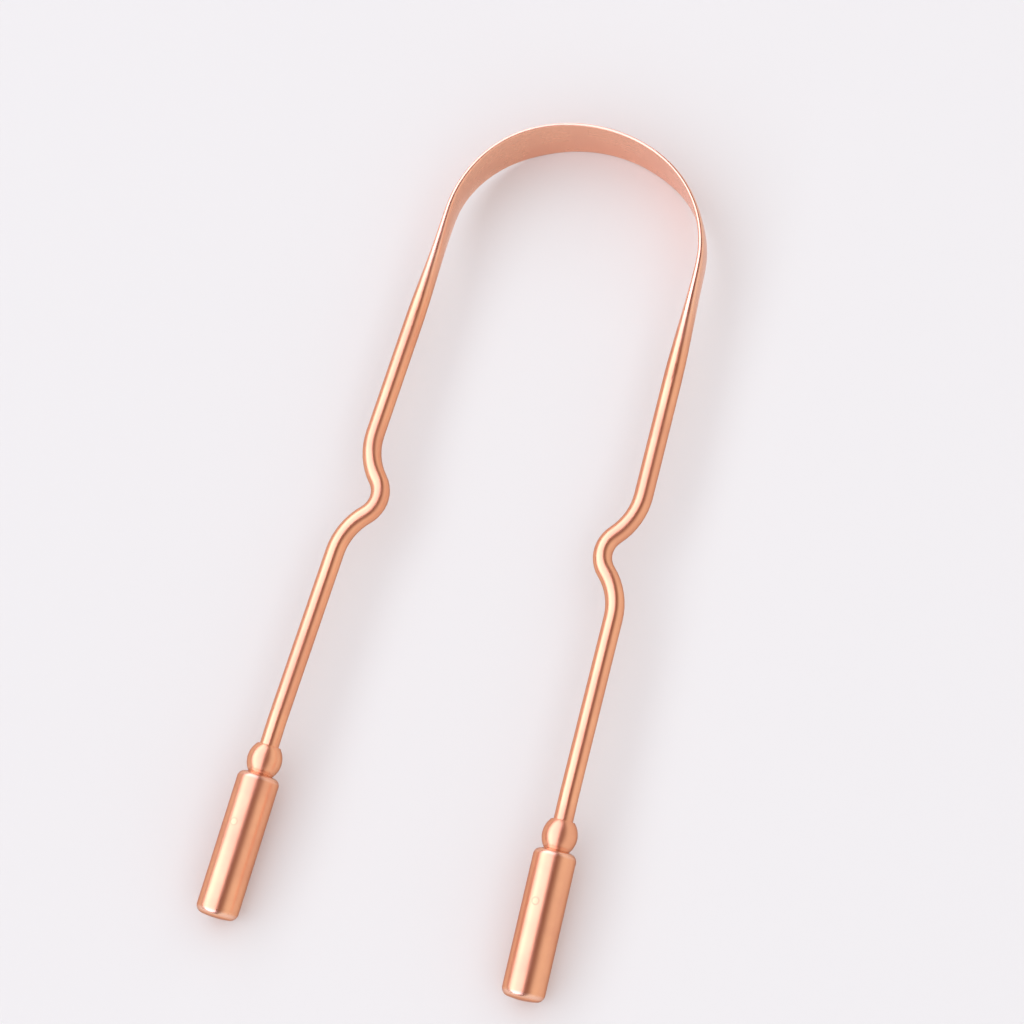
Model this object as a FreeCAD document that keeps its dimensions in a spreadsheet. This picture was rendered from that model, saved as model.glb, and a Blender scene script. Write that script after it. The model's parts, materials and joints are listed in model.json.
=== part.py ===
import FreeCAD, Part
import math
import os
from FreeCAD import Placement, Rotation, Vector
from Sketcher import Constraint

# A copper tongue scraper. One wire is bent to a U, its middle is forged into a thin blade that
# stands square to the U, and each end of the wire is pinned into a turned grip.
# The bow is drawn in its own plane: X across, +Y towards the blade, crown of the blade at Y = 0.

# Driving dimensions in millimetres and degrees
SIZES = {
    "wire_diameter": 3.2,
    "blade_width": 11.4,
    "blade_thickness": 0.75,
    "blade_edge_radius": 0.28,
    "blade_flat_length": 19.6,
    "crown_radius": 25.2,
    "crown_angle": 31.5,
    "shoulder_radius": 19.2,
    "round_start": 20.6,
    "arm_splay": 1.83,
    "notch_distance": 51.4,
    "notch_depth": 4.3,
    "notch_bend_radius": 11.0,
    "notch_apex_radius": 4.67,
    "grip_distance": 101.5,
    "grip_bend_angle": 5.0,
    "grip_bend_radius": 20.0,
    "grip_bend_gap": 8.4,
    "barrel_length": 24.5,
    "barrel_diameter": 7.1,
    "barrel_end_radius": 1.4,
    "barrel_end_dome_radius": 14.0,
    "neck_diameter": 4.0,
    "neck_ledge": 0.3,
    "bead_diameter": 5.8,
    "bead_height": 2.44,
    "lip_diameter": 3.9,
    "tenon_depth": 14.3,
    "tenon_chamfer": 0.4,
    "bore_bottom_gap": 0.5,
    "bore_clearance": 0.04,
    "pin_diameter": 1.2,
    "pin_depth": 8.7,
    "pin_turn": 14.0,
    "pin_clearance": 0.02,
}

# Sections of the forged stretch from the crown to each round arm
FORGE_STEPS = 16
# Degree of the curves that draw its arcs exactly
ARC_DEGREE = 2
RIGHT, LEFT = 1, -1
SIDE_NAMES = {LEFT: "left", RIGHT: "right"}

# Distance under which two places count as one
SAME_PLACE = 0.001

# Point positions and axes in a sketch
START, END, CENTRE = range(1, 4)
HORIZONTAL_AXIS, VERTICAL_AXIS = range(-1, -3, -1)
ORIGIN = HORIZONTAL_AXIS, START


def make_sheet():
    """The driving dimensions as a sheet, one named cell each."""
    sheet = doc.addObject("Spreadsheet::Sheet", "Sizes")
    for row, (alias, number) in enumerate(SIZES.items(), start=1):
        sheet.set(f"A{row}", alias)
        sheet.set(f"B{row}", str(number))
        sheet.setAlias(f"B{row}", alias)
    doc.recompute()
    return sheet


doc = FreeCAD.newDocument("tongue_scraper")
size = make_sheet()


def value(expression):
    """Number that an expression on the sheet's cells comes to."""
    return float(size.evalExpression(expression))


# Layout of the bow, from the crown along the right-hand side

SHOULDER_X = (
    "(Sizes.crown_radius * sin(Sizes.crown_angle)"
    " + Sizes.shoulder_radius * (cos(Sizes.arm_splay) - sin(Sizes.crown_angle)))")
SHOULDER_DROP = (
    "(Sizes.crown_radius * (1 - cos(Sizes.crown_angle))"
    " + Sizes.shoulder_radius * (cos(Sizes.crown_angle) - sin(Sizes.arm_splay)))")
NOTCH_RADII = "(Sizes.notch_bend_radius + Sizes.notch_apex_radius)"
NOTCH_HALF_SPAN = f"sqrt(Sizes.notch_depth * (2 * {NOTCH_RADII} - Sizes.notch_depth))"
BEND_END = "(Sizes.grip_distance - Sizes.grip_bend_gap)"
BEND_START = f"({BEND_END} - Sizes.grip_bend_radius * Sizes.grip_bend_angle * pi / 180)"

splay = math.radians(size.arm_splay)
crown_turn = math.radians(size.crown_angle)
bend_turn = math.radians(size.grip_bend_angle)
shoulder_turn = math.pi / 2 - splay
crown_arc = size.crown_radius * crown_turn
arch_length = crown_arc + size.shoulder_radius * (shoulder_turn - crown_turn)
forged_length = arch_length + size.round_start


def arm_point(distance, inset=0.0):
    """Point by the right arm's straight line, a distance from its shoulder and inset towards the left arm."""
    shoulder = Vector(value(SHOULDER_X), -value(SHOULDER_DROP), 0)
    along = Vector(math.sin(splay), -math.cos(splay), 0)
    inward = Vector(-math.cos(splay), -math.sin(splay), 0)
    return shoulder + along * distance + inward * inset


def bow_station(length):
    """Centre point and turn of the bow at a length along it from the crown."""
    if length <= crown_arc:
        turn = length / size.crown_radius
        return Vector(math.sin(turn), math.cos(turn) - 1, 0) * size.crown_radius, turn
    if length <= arch_length:
        turn = crown_turn + (length - crown_arc) / size.shoulder_radius
        shoulder_centre = arm_point(0, size.shoulder_radius)
        return shoulder_centre + Vector(math.sin(turn), math.cos(turn), 0) * size.shoulder_radius, turn
    return arm_point(length - arch_length), shoulder_turn


def grip_frame(side):
    """Frame at the top of a barrel, with +Y along the wire's tail towards its bend."""
    run = size.grip_bend_radius * math.sin(bend_turn) + size.grip_bend_gap * math.cos(bend_turn)
    drop = size.grip_bend_radius * (1 - math.cos(bend_turn)) + size.grip_bend_gap * math.sin(bend_turn)
    point = arm_point(value(BEND_START) + run)
    turn = Rotation(Vector(0, 0, 1), side * size.arm_splay)
    lean = Rotation(Vector(1, 0, 0), size.grip_bend_angle)
    return Placement(Vector(side * point.x, point.y, -drop), turn.multiply(lean))


def pin_frame():
    """Frame of a cross pin within its grip's frame, with +Z along the pin."""
    return Placement(Vector(0, -size.pin_depth, 0), Rotation(Vector(0, 1, 0), -size.pin_turn))


def barrel_end():
    """Centres of the dome and of the rounded rim on a barrel's end, in the grip's half section."""
    dome_centre = Vector(0, size.barrel_end_dome_radius - size.barrel_length, 0)
    rim_out = size.barrel_diameter / 2 - size.barrel_end_radius
    rim_drop = math.sqrt((size.barrel_end_dome_radius - size.barrel_end_radius) ** 2 - rim_out ** 2)
    return dome_centre, dome_centre + Vector(rim_out, -rim_drop, 0)


def rest_placement():
    """Lays the tool on the crown of the blade and the rims of its barrels, centred over the origin."""
    dome_centre, rim_centre = barrel_end()
    frame = grip_frame(RIGHT)
    lower_rim = frame.multVec(Vector(0, rim_centre.y, -rim_centre.x))
    rise = lower_rim.z + size.blade_width / 2
    tilt = math.atan2(lower_rim.y, rise) + math.acos(size.barrel_end_radius / math.hypot(lower_rim.y, rise))
    height = size.blade_width / 2 * math.cos(tilt)
    tip = frame.multVec(dome_centre).y - size.barrel_end_dome_radius
    centre = -(tip + size.blade_thickness / 2) / 2
    return Placement(Vector(0, centre, height), Rotation(Vector(1, 0, 0), math.degrees(tilt)))


# Sketching

def plane(body, role):
    """One of the body's own origin planes."""
    return next(feature for feature in body.Origin.OriginFeatures if feature.Role == role)


def new_sketch(body, name, role, offset=Placement()):
    """A sketch on one of the body's own origin planes, moved by an offset given in that plane's axes."""
    sketch = body.newObject("Sketcher::SketchObject", name)
    sketch.AttachmentSupport = (plane(body, role), [""])
    sketch.MapMode = "FlatFace"
    sketch.AttachmentOffset = offset
    return sketch


def bind(sketch, expression, kind, *where):
    """Adds a sized constraint and binds it to the sheet."""
    index = sketch.addConstraint(Constraint(kind, *where, value(expression)))
    sketch.setExpression(f"Constraints[{index}]", expression)


def line(start, end):
    return Part.LineSegment(Vector(*start), Vector(*end))


def arc(centre, start, end):
    """Arc about a centre, anticlockwise from one point to another."""
    centre, start, end = Vector(*centre), Vector(*start), Vector(*end)
    first, last = (math.atan2(point.y - centre.y, point.x - centre.x) for point in (start, end))
    circle = Part.Circle(centre, Vector(0, 0, 1), centre.distanceToPoint(start))
    return Part.ArcOfCircle(circle, first, last if last > first else last + 2 * math.pi)


def ring(sketch, expression):
    """A circle about the sketch's origin, with its diameter bound to the sheet."""
    sketch.addGeometry(Part.Circle(Vector(), Vector(0, 0, 1), value(expression) / 2))
    sketch.addConstraint(Constraint("Coincident", 0, CENTRE, *ORIGIN))
    bind(sketch, expression, "Diameter", 0)
    return sketch


# The bow

def forged(flat, round_wire, share):
    """A size between the blade's and the wire's. Equal ratios keep the metal's section area nearly even."""
    return flat * (round_wire / flat) ** share


def forged_share(length):
    """How far the section has eased from flat blade, 0, to round wire, 1, by a length from the crown."""
    flat_end = size.blade_flat_length / 2
    run = max(0, (abs(length) - flat_end) / (forged_length - flat_end))
    return run * run * (3 - 2 * run)


def oval(share):
    """Control points of the wire's section, once round from its bottom: each an outward and an upward
    offset and a weight. Two wide face arcs run tangent into two small edge arcs. On the round wire each
    arc is a quarter."""
    half_width = forged(size.blade_width / 2, size.wire_diameter / 2, share)
    half_thickness = forged(size.blade_thickness / 2, size.wire_diameter / 2, share)
    edge_rise = size.blade_thickness / 2 - size.blade_edge_radius
    edge_run = size.blade_width / 2 - size.blade_edge_radius
    quarter_slope = math.tan(math.pi / 8)
    slope = forged(edge_rise / edge_run, quarter_slope, share)
    face_angle = 2 * math.atan(slope)
    edge_centre = (half_width - half_thickness) / (1 - slope)
    edge_radius = half_width - edge_centre
    face_radius = half_thickness + (half_width - half_thickness) * (1 + slope) / (2 * slope)
    half_edge = (math.pi / 2 - face_angle) / 2
    bulge = edge_radius / math.cos(half_edge)
    edge = [
        (0, half_width, 1),
        (bulge * math.sin(half_edge), edge_centre + bulge * math.cos(half_edge), math.cos(half_edge)),
        (edge_radius * math.cos(face_angle), edge_centre + edge_radius * math.sin(face_angle), 1),
    ]
    face_bulge = face_radius / math.cos(face_angle)
    face = (half_thickness - face_radius + face_bulge, 0, math.cos(face_angle))
    outer = [(out, -up, weight) for out, up, weight in edge] + [face] + edge[::-1]
    inner = [(-out, up, weight) for out, up, weight in reversed(outer)]
    return outer + inner[1:]


def placed_oval(length):
    """The section's control points in place, each times its weight, at a length from the crown."""
    point, turn = bow_station(abs(length))
    side = math.copysign(1, length)
    centre = Vector(side * point.x, point.y, 0)
    outward = Vector(side * math.sin(turn), math.cos(turn), 0)
    return [((centre + outward * out + Vector(0, 0, up)) * weight, weight)
            for out, up, weight in oval(forged_share(length))]


def smooth_curve(points, lengths):
    """Smooth curve that passes through each point at its length."""
    curve = Part.BSplineCurve()
    curve.interpolate(Points=points, Parameters=lengths)
    return curve


def forged_patches():
    """Smooth surfaces, one for each arc of the section, from the left arm over the crown to the right arm."""
    lengths = [forged_length * step / FORGE_STEPS for step in range(-FORGE_STEPS, FORGE_STEPS + 1)]
    poles, weights = [], []
    for row in zip(*[placed_oval(length) for length in lengths]):
        curve = smooth_curve([point for point, _ in row], lengths)
        weight_points = [Vector(weight, length, 0) for (_, weight), length in zip(row, lengths)]
        weight_curve = smooth_curve(weight_points, lengths)
        weights.append([pole.x for pole in weight_curve.getPoles()])
        poles.append([pole * (1 / weight) for pole, weight in zip(curve.getPoles(), weights[-1])])
    patches = []
    for first in range(0, len(poles) - 1, ARC_DEGREE):
        arc_rows = slice(first, first + ARC_DEGREE + 1)
        arc_ends = [ARC_DEGREE + 1] * 2
        patch = Part.BSplineSurface()
        patch.buildFromPolesMultsKnots(
            list(zip(*poles[arc_rows])), curve.getMultiplicities(), arc_ends, curve.getKnots(), [0, 1],
            False, False, curve.Degree, ARC_DEGREE, list(zip(*weights[arc_rows])))
        patches.append(patch)
    return patches


def make_blade():
    """The forged stretch of the wire: flat blade over the crown, eased to round wire down each shoulder."""
    patches = forged_patches()
    ends = (-forged_length, forged_length)
    caps = [Part.Face(Part.Wire([patch.uIso(end).toShape() for patch in patches])) for end in ends]
    shell = Part.Shell([patch.toShape() for patch in patches] + caps)
    shell.sewShape()
    blade = doc.addObject("Part::Feature", "forged_blade")
    blade.Shape = Part.Solid(shell)
    return blade


def arm_path(body):
    """Centre line of the right arm: straight, a finger notch of three bends, straight to the last bend."""
    sketch = new_sketch(body, "arm_path", "XY_Plane")
    half_span = value(NOTCH_HALF_SPAN)
    middle = size.notch_distance
    bend, apex = size.notch_bend_radius, size.notch_apex_radius
    joint = half_span * bend / (bend + apex)
    joint_inset = size.notch_depth * bend / (bend + apex)
    first_end, last_start = arm_point(middle - half_span), arm_point(middle + half_span)
    first_joint = arm_point(middle - half_span + joint, joint_inset)
    last_joint = arm_point(middle + half_span - joint, joint_inset)
    sketch.addGeometry([
        line(arm_point(size.round_start), first_end),
        arc(arm_point(middle - half_span, bend), first_joint, first_end),
        arc(arm_point(middle, size.notch_depth - apex), first_joint, last_joint),
        arc(arm_point(middle + half_span, bend), last_start, last_joint),
        line(last_start, arm_point(value(BEND_START))),
    ])
    sketch.addConstraint([
        Constraint("Tangent", 0, END, 1, END),
        Constraint("Tangent", 1, START, 2, START),
        Constraint("Tangent", 2, END, 3, END),
        Constraint("Tangent", 3, START, 4, START),
        Constraint("Tangent", 0, 4),
        Constraint("Equal", 1, 3),
    ])
    start_x = f"{SHOULDER_X} + Sizes.round_start * sin(Sizes.arm_splay)"
    start_y = f"-{SHOULDER_DROP} - Sizes.round_start * cos(Sizes.arm_splay)"
    bind(sketch, start_x, "DistanceX", *ORIGIN, 0, START)
    bind(sketch, start_y, "DistanceY", *ORIGIN, 0, START)
    bind(sketch, f"Sizes.notch_distance - {NOTCH_HALF_SPAN} - Sizes.round_start", "Distance", 0)
    bind(sketch, "Sizes.notch_bend_radius", "Radius", 1)
    bind(sketch, "Sizes.notch_apex_radius", "Radius", 2)
    bind(sketch, f"2 * {NOTCH_HALF_SPAN}", "Distance", 1, CENTRE, 3, CENTRE)
    bind(sketch, f"{BEND_START} - Sizes.notch_distance - {NOTCH_HALF_SPAN}", "Distance", 4)
    lean = sketch.addConstraint(Constraint("Angle", 0, splay - math.pi / 2))
    sketch.setExpression(f"Constraints[{lean}]", "Sizes.arm_splay - 90")
    return sketch


def upright(distance, turn):
    """Offset that stands a sketch from the YZ plane on the right arm, turned about the vertical."""
    point = arm_point(distance)
    return Placement(Vector(point.y, 0, point.x), Rotation(Vector(0, 1, 0), turn))


def tail_path(body):
    """Centre line of the right arm's tail, which bends down out of the bow's plane and runs into the grip."""
    sketch = new_sketch(body, "tail_path", "YZ_Plane", upright(value(BEND_START), size.arm_splay))
    radius, straight = size.grip_bend_radius, size.grip_bend_gap + size.tenon_depth
    bend_end = Vector(-math.sin(bend_turn), math.cos(bend_turn) - 1, 0) * radius
    tail_end = bend_end - Vector(math.cos(bend_turn), math.sin(bend_turn), 0) * straight
    sketch.addGeometry([arc((0, -radius), (0, 0), bend_end), line(bend_end, tail_end)])
    sketch.addConstraint([
        Constraint("Coincident", 0, START, *ORIGIN),
        Constraint("PointOnObject", 0, CENTRE, VERTICAL_AXIS),
        Constraint("Tangent", 0, END, 1, START),
    ])
    bind(sketch, "Sizes.grip_bend_radius", "Radius", 0)
    bind(sketch, "Sizes.grip_bend_gap + Sizes.tenon_depth", "Distance", 1)
    bind(sketch, "-Sizes.grip_bend_radius * sin(Sizes.grip_bend_angle)", "DistanceX", *ORIGIN, 0, END)
    return sketch


def sweep_wire(body, name, distance, path):
    """Round wire swept along a path that starts at a distance down the right arm."""
    section = new_sketch(body, f"{name}_section", "YZ_Plane", upright(distance, size.arm_splay - 90))
    wire = body.newObject("PartDesign::AdditivePipe", name)
    wire.Profile = ring(section, "Sizes.wire_diameter")
    wire.Spine = (path, [])
    doc.recompute()
    return wire


def confirm_cut(pocket):
    """Stops if a pocket takes no metal away."""
    doc.recompute()
    if pocket.Shape.Volume >= pocket.BaseFeature.Shape.Volume:
        raise RuntimeError(f"Cuts nothing: {pocket.Name}")


def cut_cross_hole(body, name, frame):
    """Cross-pin hole right through the solid at a pin's frame."""
    sketch = new_sketch(body, f"{name}_circle", "XY_Plane", frame)
    pocket = body.newObject("PartDesign::Pocket", name)
    pocket.Profile = ring(sketch, "Sizes.pin_diameter + 2 * Sizes.pin_clearance")
    pocket.SideType = "Symmetric"
    pocket.Type = "ThroughAll"
    confirm_cut(pocket)


def ring_edges(feature, centre):
    """Names of a feature's circular edges about a centre."""
    names = []
    for number, edge in enumerate(feature.Shape.Edges, start=1):
        if edge.Degenerated or not isinstance(edge.Curve, Part.Circle):
            continue
        if edge.Curve.Center.distanceToPoint(centre) < SAME_PLACE:
            names.append(f"Edge{number}")
    return names


def make_bow():
    """The wire in one piece: blade, arms with their finger notches, and drilled tenons."""
    body = doc.addObject("PartDesign::Body", "scraper_bow")
    body.BaseFeature = make_blade()
    doc.recompute()
    arm = sweep_wire(body, "right_arm", size.round_start, arm_path(body))
    tail = sweep_wire(body, "right_tail", value(BEND_START), tail_path(body))
    mirrored = body.newObject("PartDesign::Mirrored", "left_arm")
    mirrored.Originals = [arm, tail]
    mirrored.MirrorPlane = (plane(body, "YZ_Plane"), [""])
    body.Tip = mirrored
    doc.recompute()
    for side, name in SIDE_NAMES.items():
        frame = grip_frame(side)
        cut_cross_hole(body, f"{name}_tenon_hole", frame.multiply(pin_frame()))
        tenon_end = frame.multVec(Vector(0, -size.tenon_depth, 0))
        chamfer = body.newObject("PartDesign::Chamfer", f"{name}_tenon_chamfer")
        chamfer.Base = (chamfer.BaseFeature, ring_edges(chamfer.BaseFeature, tenon_end))
        chamfer.setExpression("Size", "Sizes.tenon_chamfer")
        doc.recompute()
    body.Placement = rest
    return body


# The grips and their pins, drawn with the barrel's top at Y = 0 and the wire along +Y

# Radius of the bead's side, which leaves the neck and is widest at the bead's middle
BEAD_STEP = "(Sizes.bead_diameter - Sizes.neck_diameter)"
BEAD_SIDE_RADIUS = f"(({BEAD_STEP} ^ 2 / 4 + Sizes.bead_height ^ 2) / {BEAD_STEP})"


def grip_profile(body):
    """Half section of a grip: domed end, barrel, rounded shoulder, narrow neck and olive-shaped bead."""
    sketch = new_sketch(body, "grip_profile", "XY_Plane")
    barrel, neck = size.barrel_diameter / 2, size.neck_diameter / 2
    lip, bead_side = size.lip_diameter / 2, value(BEAD_SIDE_RADIUS)
    dome, rounding = size.barrel_end_dome_radius, size.barrel_end_radius
    shoulder = barrel - neck - size.neck_ledge
    dome_centre, rim_centre = barrel_end()
    rim = dome_centre + (rim_centre - dome_centre) * (dome / (dome - rounding))
    bead_centre = Vector(size.bead_diameter / 2 - bead_side, size.bead_height, 0)
    lip_top = size.bead_height + math.sqrt(bead_side ** 2 - (lip - bead_centre.x) ** 2)
    sketch.addGeometry([
        arc(dome_centre, (0, -size.barrel_length), rim),
        arc(rim_centre, rim, (barrel, rim_centre.y)),
        line((barrel, rim_centre.y), (barrel, -shoulder)),
        arc((barrel - shoulder, -shoulder), (barrel, -shoulder), (barrel - shoulder, 0)),
        line((barrel - shoulder, 0), (neck, 0)),
        arc(bead_centre, (neck, 0), (lip, lip_top)),
        line((lip, lip_top), (0, lip_top)),
        line((0, lip_top), (0, -size.barrel_length)),
    ])
    sketch.addConstraint(
        [Constraint("Tangent", piece, END, piece + 1, START) for piece in range(4)]
        + [Constraint("Coincident", piece, END, piece + 1, START) for piece in range(4, 7)]
        + [Constraint("Horizontal", piece) for piece in (4, 6)]
        + [
            Constraint("Vertical", 2),
            Constraint("Coincident", 7, END, 0, START),
            Constraint("PointOnObject", 0, CENTRE, VERTICAL_AXIS),
            Constraint("PointOnObject", 7, START, VERTICAL_AXIS),
            Constraint("PointOnObject", 7, END, VERTICAL_AXIS),
            Constraint("PointOnObject", 4, END, HORIZONTAL_AXIS),
        ])
    bind(sketch, "Sizes.barrel_end_dome_radius", "Radius", 0)
    bind(sketch, "Sizes.barrel_end_radius", "Radius", 1)
    bind(sketch, BEAD_SIDE_RADIUS, "Radius", 5)
    bind(sketch, "Sizes.barrel_diameter / 2", "DistanceX", *ORIGIN, 2, START)
    bind(sketch, "Sizes.neck_ledge", "Distance", 4)
    bind(sketch, "Sizes.neck_diameter / 2", "DistanceX", *ORIGIN, 5, START)
    bind(sketch, "Sizes.lip_diameter / 2", "DistanceX", *ORIGIN, 6, START)
    bind(sketch, "-Sizes.barrel_length", "DistanceY", *ORIGIN, 0, START)
    bind(sketch, "Sizes.bead_height", "DistanceY", *ORIGIN, 5, CENTRE)
    return sketch


def make_grip(side):
    """Turned grip with a blind bore for the wire's tenon and a cross hole for its pin."""
    body = doc.addObject("PartDesign::Body", f"{SIDE_NAMES[side]}_grip")
    turned = body.newObject("PartDesign::Revolution", "turned")
    turned.Profile = grip_profile(body)
    turned.ReferenceAxis = (turned.Profile[0], ["V_Axis"])
    doc.recompute()
    bore_end = new_sketch(body, "bore_end", "XZ_Plane")
    bore_end.setExpression("AttachmentOffset.Base.z", "Sizes.tenon_depth + Sizes.bore_bottom_gap")
    bore = body.newObject("PartDesign::Pocket", "bore")
    bore.Profile = ring(bore_end, "Sizes.wire_diameter + 2 * Sizes.bore_clearance")
    bore.Type = "ThroughAll"
    confirm_cut(bore)
    cut_cross_hole(body, "cross_hole", pin_frame())
    body.Placement = rest.multiply(grip_frame(side))
    return body


def make_pin(side):
    """Cross pin, filed flush with the barrel at both ends."""
    name = f"{SIDE_NAMES[side]}_grip_pin"
    rod = doc.addObject("Part::Cylinder", f"{name}_rod")
    rod.setExpression("Radius", "Sizes.pin_diameter / 2")
    rod.setExpression("Height", "2 * Sizes.barrel_diameter")
    rod.Placement = pin_frame().multiply(Placement(Vector(0, 0, -size.barrel_diameter), Rotation()))
    trim = doc.addObject("Part::Cylinder", f"{name}_trim")
    trim.setExpression("Radius", "Sizes.barrel_diameter / 2")
    trim.setExpression("Height", "Sizes.barrel_length")
    trim.Placement = Placement(Vector(), Rotation(Vector(1, 0, 0), 90))
    pin = doc.addObject("Part::Common", name)
    pin.Base = rod
    pin.Tool = trim
    pin.Placement = rest.multiply(grip_frame(side))
    return pin


rest = rest_placement()
pieces = [make_bow()]
for side in SIDE_NAMES:
    pieces += [make_grip(side), make_pin(side)]
doc.recompute()

failed = [item.Name for item in doc.Objects if {"Invalid", "Error"} & set(item.State)]
if failed:
    raise RuntimeError(f"Failed to build: {failed}")
for piece in pieces:
    if piece.Shape.isNull() or not piece.Shape.isValid() or len(piece.Shape.Solids) != 1:
        raise RuntimeError(f"Not one valid solid: {piece.Label}")

os.makedirs("parts", exist_ok=True)
for piece in pieces:
    piece.Shape.exportStep(f"parts/{piece.Label}.step")
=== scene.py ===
"""Looks of the copper tongue scraper: its materials, a floor, light and a camera. Lengths are in metres."""
import json
from math import radians, tan

import bpy
from mathutils import Matrix, Vector


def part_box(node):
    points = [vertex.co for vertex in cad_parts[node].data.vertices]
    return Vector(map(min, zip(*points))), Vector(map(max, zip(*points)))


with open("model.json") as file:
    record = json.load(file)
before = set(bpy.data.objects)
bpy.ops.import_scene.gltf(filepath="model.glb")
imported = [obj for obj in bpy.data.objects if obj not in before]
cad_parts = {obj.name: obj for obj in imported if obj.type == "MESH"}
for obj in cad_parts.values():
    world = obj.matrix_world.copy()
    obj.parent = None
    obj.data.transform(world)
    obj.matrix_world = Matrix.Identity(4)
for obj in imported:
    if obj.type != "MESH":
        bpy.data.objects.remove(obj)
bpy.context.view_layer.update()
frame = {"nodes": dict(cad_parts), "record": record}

MM = 0.001

# The camera looks steeply down on the tool, which lies aslant in the picture.
VIEW_CENTRE = Vector((2.707, 4.806, 5.018)) * MM
VIEW_AZIMUTH = radians(42.42)
VIEW_ELEVATION = radians(71.12)
VIEW_ROLL = radians(-27.67)
VIEW_DISTANCE = 524.72 * MM
LENS = 110.6
SENSOR = 36.0

# One long softbox stands on the left, seen from the tool between these angles from straight up.
# Only reflections see it. A wide panel overhead lights the floor, and isn't reflected.
SOFTBOX_ANGLES = radians(-5), radians(74)
SOFTBOX_POWER = 119.0
SOFTBOX_COLOUR = 0.95, 0.99, 1.34
PANEL_ANGLES = radians(-50), radians(60)
PANEL_POWER = 105.0
PANEL_COLOUR = 0.893, 0.963, 1.0
LIGHT_DISTANCE = 1.5
LIGHT_LENGTH = 8.0

# The room is bright to the sides. A dim warm strip runs overhead, along the arms, and the wall on the left
# is dimmer. Heights and reaches to the left are those of a unit direction seen along the arms, which drops
# its y and turns its x round.
ROOM_SIDES = 0.98, 0.98, 0.98, 1
ROOM_STRIP = 0.18, 0.06, 0.03, 1
ROOM_HEIGHTS = 0.52, 0.95
ROOM_OPEN = 1, 1, 1, 1
ROOM_LEFT = 0.38, 0.30, 0.28, 1
ROOM_REACHES = 0.80, 0.96
SEEN_ALONG_ARMS = -1, 0, 1

FLOOR_SPAN = 6.0
FLOOR_COLOUR = 0.80, 0.80, 0.815, 1
FLOOR_ROUGHNESS = 0.8
FLOOR_SPECULAR = 0.2

# Copper as it left the polishing wheel, where it has dulled, and bright copper: rubbed bright by handling
# on the barrels' corners and the blade's rims, and painted highlight and painted reflection on the blade.
# The neck's is paler, painted to offset the light that copper reflects onto copper, which looks redder.
CLEAN = 0.90, 0.43, 0.24, 1
DULLED = 0.74, 0.31, 0.19, 1
BRIGHT = 0.95, 0.56, 0.40, 1
NECK = 0.96, 0.64, 0.47, 1

# Reflections at a grazing angle are dimmed on the round parts, and not on the blade.
GRAZING = 0.60, 0.50, 0.48, 1
BLADE_GRAZING = 1, 1, 1, 1

# The roughness, and what dulled places, bright places and the lines' hills add to it.
ROUGHNESS = 0.29
DULLED_ROUGHNESS = 0.10
BRIGHT_ROUGHNESS = -0.05
LINE_ROUGHNESS = 0.06

# The lines: the depth of their relief, and the detail and the mean of the noise that makes them.
LINE_DEPTH = 0.001 * MM
LINE_DETAIL = 2.0
LINE_MEAN = 0.5

# Dulled patches: their size, the noise at which they start and are full, and the most that they show.
PATCH_SIZE = 7 * MM
PATCH_DETAIL = 4.0
PATCH_NOISE = 0.36, 0.66
PATCH_SHARE = 0.42

# The bow: the wire's drawn lines follow the arms and their notches, and then the blade.
# The forged blade has dents, and shares of the bright copper: one on its face, a painted reflection that
# makes the face paler, and one on its rims, which slope up or down: rubbed bright, with a painted
# highlight.
DRAWN_LINE = 0.16 * MM
DRAWN_STRETCH = 0.01
ARCH_RISE = 19.9 * MM
ARM_SPLAY = tan(radians(1.83))
NOTCH_PLACE = -51.4 * MM
NOTCH_REACH = 10.8 * MM
NOTCH_DEPTH = 4.3 * MM
FORGED_FROM = -18 * MM
FORGED_TO = -4 * MM
FACE_PAINTED_REFLECTION = 0.55
RIM_WEAR_AND_HIGHLIGHT = 0.75
RIM_SLOPES = 0.35, 0.85
DENT_SIZE = 3.5 * MM
DENT_DETAIL = 0.0
DENT_DEPTH = 0.004 * MM

# The grips: fine turning rings, dull round the pin, painted paler in the neck against the redder light that
# copper reflects onto copper, and rubbed bright on the barrel's corners.
# A corner lies between the slopes of the barrel's side and those of its end.
TURNED_LINE = 0.2 * MM
NECK_GAP = 1.25 * MM
NECK_SPREAD = 0.8 * MM
SIDE_SLOPES = 0.1, 0.5
END_SLOPES = 0.95, 0.6
STAIN_SHARE = 0.6
PIN_RADIUS = 0.6 * MM
PIN_STAIN = 0.2 * MM
PIN_TURN = radians(14)
FILED_LINE = 0.10 * MM

# The mix node's sockets for colours, which have the same names as its sockets for numbers.
FIRST_COLOUR = 6
SECOND_COLOUR = 7
MIXED_COLOUR = 2


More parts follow.
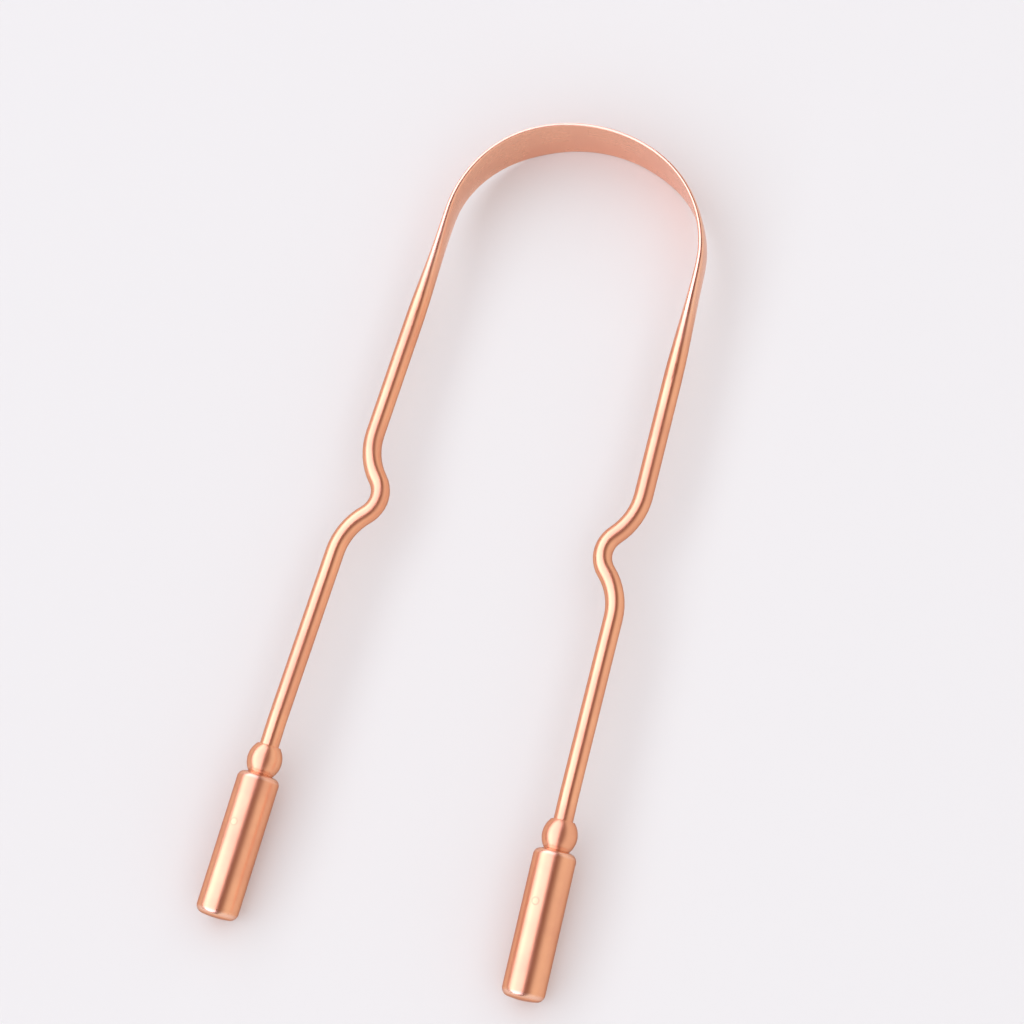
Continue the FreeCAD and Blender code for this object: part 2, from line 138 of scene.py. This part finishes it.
class Copper:
    """A copper material in the making, with one short call for each kind of node."""

    def __init__(self, name):
        self.material = bpy.data.materials.new(name)
        self.material.use_nodes = True
        self.tree = self.material.node_tree
        self.surface = self.tree.nodes["Principled BSDF"]
        place = self.node("ShaderNodeTexCoord")
        self.position = place.outputs["Object"]
        self.normal = place.outputs["Normal"]

    def node(self, kind, inputs=None, **settings):
        """A new node. Each input is a number, a vector, a colour or another node's output."""
        made = self.tree.nodes.new(kind)
        for name, choice in settings.items():
            setattr(made, name, choice)
        for socket, given in (inputs or {}).items():
            if isinstance(given, bpy.types.NodeSocket):
                self.tree.links.new(given, made.inputs[socket])
            else:
                made.inputs[socket].default_value = given
        return made

    def maths(self, operation, *terms):
        """One sum on numbers."""
        return self.node("ShaderNodeMath", dict(enumerate(terms)), operation=operation).outputs[0]

    def vectors(self, operation, *terms):
        """One sum on vectors, whose result is a number for a length or a dot product."""
        made = self.node("ShaderNodeVectorMath", dict(enumerate(terms)), operation=operation)
        return made.outputs["Value" if operation in ("LENGTH", "DOT_PRODUCT") else "Vector"]

    def split(self, vector):
        """The three parts of a vector."""
        return self.node("ShaderNodeSeparateXYZ", {0: vector}).outputs

    def join(self, x, y, z=0.0):
        """A vector from its three parts."""
        return self.node("ShaderNodeCombineXYZ", {0: x, 1: y, 2: z}).outputs[0]

    def noise(self, place, grain, detail=LINE_DETAIL):
        """Even noise whose grain has this length."""
        sockets = {"Vector": place, "Scale": 1 / grain, "Detail": detail}
        return self.node("ShaderNodeTexNoise", sockets).outputs[0]

    def fade(self, amount, none_at, full_at):
        """A smooth change from 0 to 1 between two amounts."""
        sockets = {"Value": amount, "From Min": none_at, "From Max": full_at}
        return self.node("ShaderNodeMapRange", sockets, interpolation_type="SMOOTHSTEP").outputs[0]

    def mix(self, share, first, second):
        """A mix of two colours."""
        sockets = {"Factor": share, FIRST_COLOUR: first, SECOND_COLOUR: second}
        return self.node("ShaderNodeMix", sockets, data_type="RGBA").outputs[MIXED_COLOUR]

    def patches(self):
        """Soft uneven patches where the copper has begun to dull."""
        cloud = self.noise(self.position, PATCH_SIZE, detail=PATCH_DETAIL)
        return self.maths("MULTIPLY", self.fade(cloud, *PATCH_NOISE), PATCH_SHARE)

    def dress(self, lines, dulled, bright, dents=None, shine=BRIGHT, blade=None):
        """Joins the masks to the surface's colour, roughness and relief.

        Bright places take the colour shine.
        Grazing reflections aren't dimmed where the blade's mask is full.
        """
        colour = self.mix(bright, self.mix(dulled, CLEAN, DULLED), shine)
        hills = self.maths("SUBTRACT", lines, LINE_MEAN)
        rough = self.maths("MULTIPLY_ADD", hills, LINE_ROUGHNESS, ROUGHNESS)
        rough = self.maths("MULTIPLY_ADD", dulled, DULLED_ROUGHNESS, rough)
        rough = self.maths("MULTIPLY_ADD", bright, BRIGHT_ROUGHNESS, rough)
        relief = self.node("ShaderNodeBump", {"Height": lines, "Distance": LINE_DEPTH}).outputs[0]
        if dents:
            sockets = {"Height": dents, "Distance": DENT_DEPTH, "Normal": relief}
            relief = self.node("ShaderNodeBump", sockets).outputs[0]
        self.surface.inputs["Metallic"].default_value = 1.0
        self.surface.inputs["Specular Tint"].default_value = GRAZING
        if blade:
            tint = self.mix(blade, GRAZING, BLADE_GRAZING)
            self.tree.links.new(tint, self.surface.inputs["Specular Tint"])
        for socket, output in {"Base Color": colour, "Roughness": rough, "Normal": relief}.items():
            self.tree.links.new(output, self.surface.inputs[socket])
        return self.material


def bow_copper():
    """Drawn wire with lengthwise lines, and the forged blade with faint dents, a face painted paler as a
    reflection, and bright rims with a painted highlight.
    """
    copper = Copper("copper_bow")
    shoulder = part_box("scraper_bow")[1].y - ARCH_RISE
    x, y, z = copper.split(copper.position)
    past_shoulder = copper.maths("SUBTRACT", y, shoulder)
    along_arm = copper.maths("MINIMUM", past_shoulder, 0.0)
    into_arch = copper.maths("MAXIMUM", past_shoulder, 0.0)
    from_middle = copper.vectors("LENGTH", copper.join(x, into_arch))
    from_notch = copper.maths("ABSOLUTE", copper.maths("SUBTRACT", along_arm, NOTCH_PLACE))
    inset = copper.maths("MULTIPLY", copper.fade(from_notch, NOTCH_REACH, 0.0), NOTCH_DEPTH)
    across = copper.maths("MULTIPLY_ADD", along_arm, ARM_SPLAY, from_middle)
    across = copper.maths("ADD", across, inset)
    slow = copper.maths("MULTIPLY", y, DRAWN_STRETCH)
    lines = copper.noise(copper.join(across, slow, z), DRAWN_LINE)
    forged = copper.fade(past_shoulder, FORGED_FROM, FORGED_TO)
    hammered = copper.noise(copper.position, DENT_SIZE, detail=DENT_DETAIL)
    dents = copper.maths("MULTIPLY", hammered, forged)
    upward = copper.maths("ABSOLUTE", copper.split(copper.normal)["Z"])
    # The rims that slope up or down are rubbed bright and carry a painted highlight.
    rims = copper.maths("MULTIPLY", copper.fade(upward, *RIM_SLOPES), RIM_WEAR_AND_HIGHLIGHT)
    # All over the blade, a painted reflection makes the copper paler; the rims take more of it.
    bright = copper.maths("MULTIPLY", copper.maths("MAXIMUM", rims, FACE_PAINTED_REFLECTION), forged)
    return copper.dress(lines, copper.patches(), bright, dents, blade=forged)


def barrel(side):
    """The record's mount on a grip's barrel, whose axis points to the free end."""
    return next(mount for mount in frame["record"]["mounts"] if mount["name"] == f"{side}_barrel")


def from_pin(copper, side):
    """How far a point is from the axis of a grip's cross pin, which is turned a little from upright."""
    low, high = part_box(f"{side}_grip_pin")
    offset = copper.vectors("SUBTRACT", copper.position, (low + high) / 2)
    axis = Vector(barrel(side)["axis"])
    upright = (Vector((0, 0, 1)) - axis * axis.z).normalized()
    direction = Matrix.Rotation(PIN_TURN, 3, axis) @ upright
    return copper.vectors("LENGTH", copper.vectors("CROSS_PRODUCT", offset, direction))


def grip_copper(side):
    """Turned copper, with fine rings round the grip's axis."""
    copper = Copper(f"copper_{side}_grip")
    axis = Vector(barrel(side)["axis"])
    offset = copper.vectors("SUBTRACT", copper.position, Vector(barrel(side)["pos_m"]))
    along = copper.vectors("DOT_PRODUCT", offset, axis)
    rings = {"W": along, "Scale": 1 / TURNED_LINE, "Detail": LINE_DETAIL}
    lines = copper.node("ShaderNodeTexNoise", rings, noise_dimensions="1D").outputs[0]
    half = barrel(side)["dims"]["length_mm"] * MM / 2
    from_neck = copper.maths("ABSOLUTE", copper.maths("ADD", along, half + NECK_GAP))
    # The neck is painted paler, to offset the redder light that copper reflects onto copper in the groove.
    neck = copper.fade(from_neck, NECK_SPREAD, 0.0)
    stain = copper.fade(from_pin(copper, side), PIN_RADIUS + PIN_STAIN, PIN_RADIUS)
    stain = copper.maths("MULTIPLY", stain, STAIN_SHARE)
    dulled = copper.maths("MAXIMUM", stain, copper.patches())
    endward = copper.maths("ABSOLUTE", copper.vectors("DOT_PRODUCT", copper.normal, axis))
    corner = copper.maths("MULTIPLY", copper.fade(endward, *SIDE_SLOPES), copper.fade(endward, *END_SLOPES))
    on_barrel = copper.fade(along, -half - NECK_GAP, -half)
    bright = copper.maths("MAXIMUM", neck, copper.maths("MULTIPLY", corner, on_barrel))
    return copper.dress(lines, dulled, bright, shine=copper.mix(neck, BRIGHT, NECK))


def pin_copper(side):
    """Copper filed straight across, dull at the seam round the pin."""
    copper = Copper(f"copper_{side}_pin")
    x, y, z = copper.split(copper.position)
    stretched = copper.maths("MULTIPLY", x, DRAWN_STRETCH)
    lines = copper.noise(copper.join(stretched, y, z), FILED_LINE)
    seam = copper.fade(from_pin(copper, side), PIN_RADIUS - PIN_STAIN, PIN_RADIUS)
    seam = copper.maths("MULTIPLY", seam, STAIN_SHARE)
    return copper.dress(lines, seam, 0.0)


def cover(node, material):
    """Gives a solid one material."""
    for slot in frame["nodes"][node].material_slots:
        slot.material = material


def link(thing):
    """Puts an object in the scene."""
    bpy.context.scene.collection.objects.link(thing)
    return thing


def make_floor():
    """A plain pale floor under the tool."""
    edge = FLOOR_SPAN / 2
    mesh = bpy.data.meshes.new("floor")
    corners = [(-edge, -edge, 0), (edge, -edge, 0), (edge, edge, 0), (-edge, edge, 0)]
    mesh.from_pydata(corners, [], [range(len(corners))])
    material = bpy.data.materials.new("floor")
    material.use_nodes = True
    surface = material.node_tree.nodes["Principled BSDF"]
    surface.inputs["Base Color"].default_value = FLOOR_COLOUR
    surface.inputs["Roughness"].default_value = FLOOR_ROUGHNESS
    surface.inputs["Specular IOR Level"].default_value = FLOOR_SPECULAR
    mesh.materials.append(material)
    link(bpy.data.objects.new("floor", mesh))


def ramp(tree, amount, places, colours):
    """A smooth change from one colour to another between two places of an amount."""
    made = tree.nodes.new("ShaderNodeValToRGB")
    made.color_ramp.interpolation = "EASE"
    for stop, place, colour in zip(made.color_ramp.elements, places, colours):
        stop.position = place
        stop.color = colour
    tree.links.new(amount, made.inputs[0])
    return made.outputs[0]


def make_room():
    """Light from all round: bright sides, a dim strip overhead and a dim wall on the left."""
    world = bpy.data.worlds.new("room")
    world.use_nodes = True
    tree = world.node_tree
    direction = tree.nodes.new("ShaderNodeTexCoord").outputs["Generated"]
    seen_along = tree.nodes.new("ShaderNodeVectorMath")
    seen_along.operation = "MULTIPLY"
    seen_along.inputs[1].default_value = SEEN_ALONG_ARMS
    unit = tree.nodes.new("ShaderNodeVectorMath")
    unit.operation = "NORMALIZE"
    parts = tree.nodes.new("ShaderNodeSeparateXYZ")
    both = tree.nodes.new("ShaderNodeMix")
    both.data_type = "RGBA"
    both.blend_type = "MULTIPLY"
    both.inputs["Factor"].default_value = 1.0
    tree.links.new(direction, seen_along.inputs[0])
    tree.links.new(seen_along.outputs["Vector"], unit.inputs[0])
    tree.links.new(unit.outputs["Vector"], parts.inputs[0])
    strip = ramp(tree, parts.outputs["Z"], ROOM_HEIGHTS, (ROOM_SIDES, ROOM_STRIP))
    tree.links.new(strip, both.inputs[FIRST_COLOUR])
    wall = ramp(tree, parts.outputs["X"], ROOM_REACHES, (ROOM_OPEN, ROOM_LEFT))
    tree.links.new(wall, both.inputs[SECOND_COLOUR])
    tree.links.new(both.outputs[MIXED_COLOUR], tree.nodes["Background"].inputs["Color"])
    bpy.context.scene.world = world


def make_light(name, angles, power, colour):
    """A large flat light, long along the arms, that spans two angles to the left of straight up."""
    near, far = angles
    middle, half = (near + far) / 2, (far - near) / 2
    light = bpy.data.lights.new(name, "AREA")
    light.shape = "RECTANGLE"
    light.size = 2 * LIGHT_DISTANCE * tan(half)
    light.size_y = LIGHT_LENGTH
    light.energy = power
    light.color = colour
    lamp = link(bpy.data.objects.new(name, light))
    lamp.matrix_world = Matrix.Rotation(-middle, 4, "Y") @ Matrix.Translation((0, 0, LIGHT_DISTANCE))
    lamp.visible_camera = False
    return lamp


def make_camera():
    """The camera at the picture's place, in its direction and with its roll."""
    data = bpy.data.cameras.new("camera")
    data.lens = LENS
    data.sensor_width = SENSOR
    tilt = Matrix.Rotation(radians(90) - VIEW_ELEVATION, 4, "X") @ Matrix.Rotation(VIEW_ROLL, 4, "Z")
    turn = Matrix.Rotation(VIEW_AZIMUTH, 4, "Z") @ tilt
    camera = link(bpy.data.objects.new("camera", data))
    camera.matrix_world = Matrix.Translation(VIEW_CENTRE) @ turn @ Matrix.Translation((0, 0, VIEW_DISTANCE))
    bpy.context.scene.camera = camera


cover("scraper_bow", bow_copper())
for side in ("left", "right"):
    cover(f"{side}_grip", grip_copper(side))
    cover(f"{side}_grip_pin", pin_copper(side))

make_floor()
make_room()
make_light("softbox", SOFTBOX_ANGLES, SOFTBOX_POWER, SOFTBOX_COLOUR).visible_diffuse = False
make_light("panel", PANEL_ANGLES, PANEL_POWER, PANEL_COLOUR).visible_glossy = False
make_camera()
bpy.context.scene.view_settings.view_transform = "Standard"
